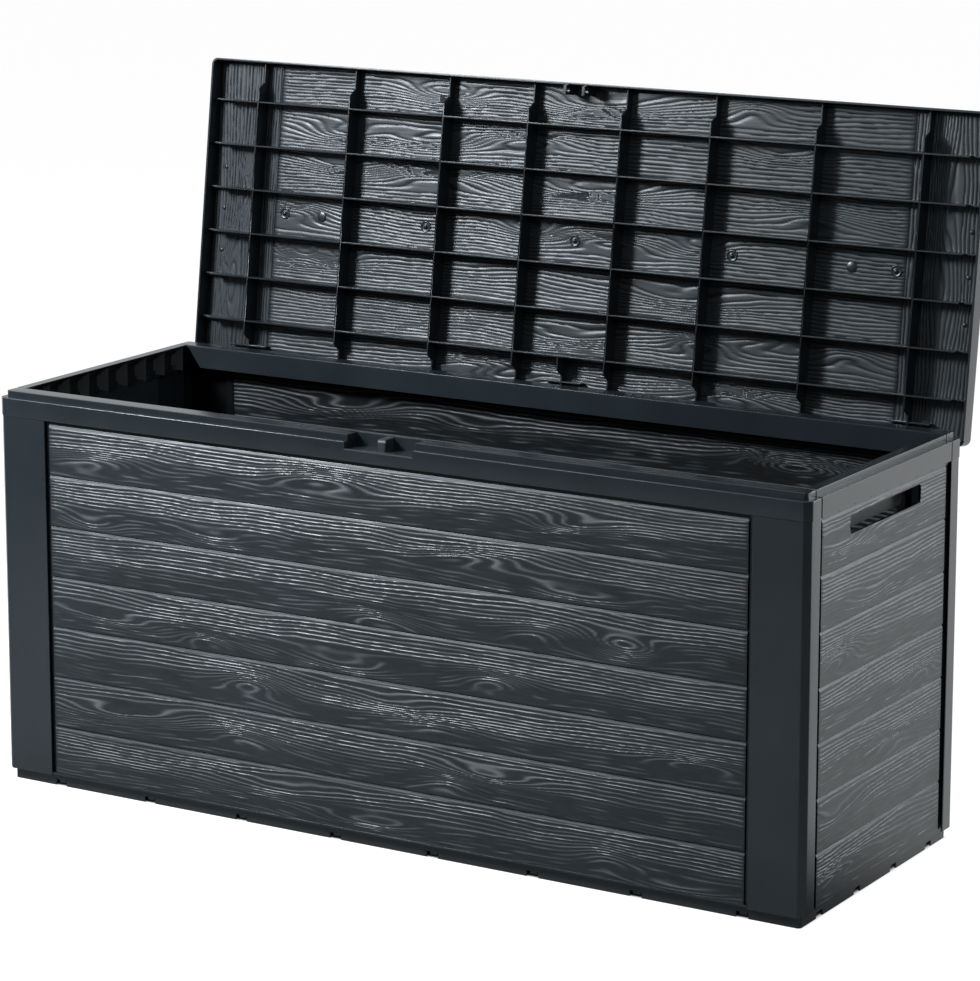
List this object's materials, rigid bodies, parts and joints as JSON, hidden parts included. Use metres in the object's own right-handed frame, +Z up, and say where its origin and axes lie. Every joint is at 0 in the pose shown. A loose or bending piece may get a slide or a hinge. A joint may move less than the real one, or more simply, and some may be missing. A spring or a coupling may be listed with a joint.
{
  "type": "deck storage box",
  "caption": "Outdoor storage box of wood-grained plastic panels on a floor tray, with handle slots, a padlock lug and a ribbed lid hinged along its rear edge.",
  "frame": {"origin": "on the ground under the middle of the box, on the underside of the floor tray's pad", "axes": "+X runs along the box to its right, +Y from front to rear, +Z up"},
  "size_m": [1.16, 0.5034, 0.8987],
  "materials": {
    "panel_plastic": "moulded wood grain on the planks, smooth satin posts and rim",
    "lid_plastic": "moulded wood grain, satin",
    "tray_plastic": "smooth satin",
    "pin_plastic": "smooth"
  },
  "bodies": {
    "box": {"floor_tray": "tray_plastic", "front_panel": "panel_plastic", "rear_panel": "panel_plastic", "right_panel": "panel_plastic", "left_panel": "panel_plastic", "hinge_pin_left": "pin_plastic", "hinge_pin_middle": "pin_plastic", "hinge_pin_right": "pin_plastic"},
    "lid": {"lid": "lid_plastic"}
  },
  "joints": [
    {"name": "lid_hinge", "type": "hinge", "parent": "box", "child": "lid", "pos_m": [0, 0.205, 0.4954], "axis": [-1, 0, 0], "range_deg": [-97.5, 0]}
  ]
}
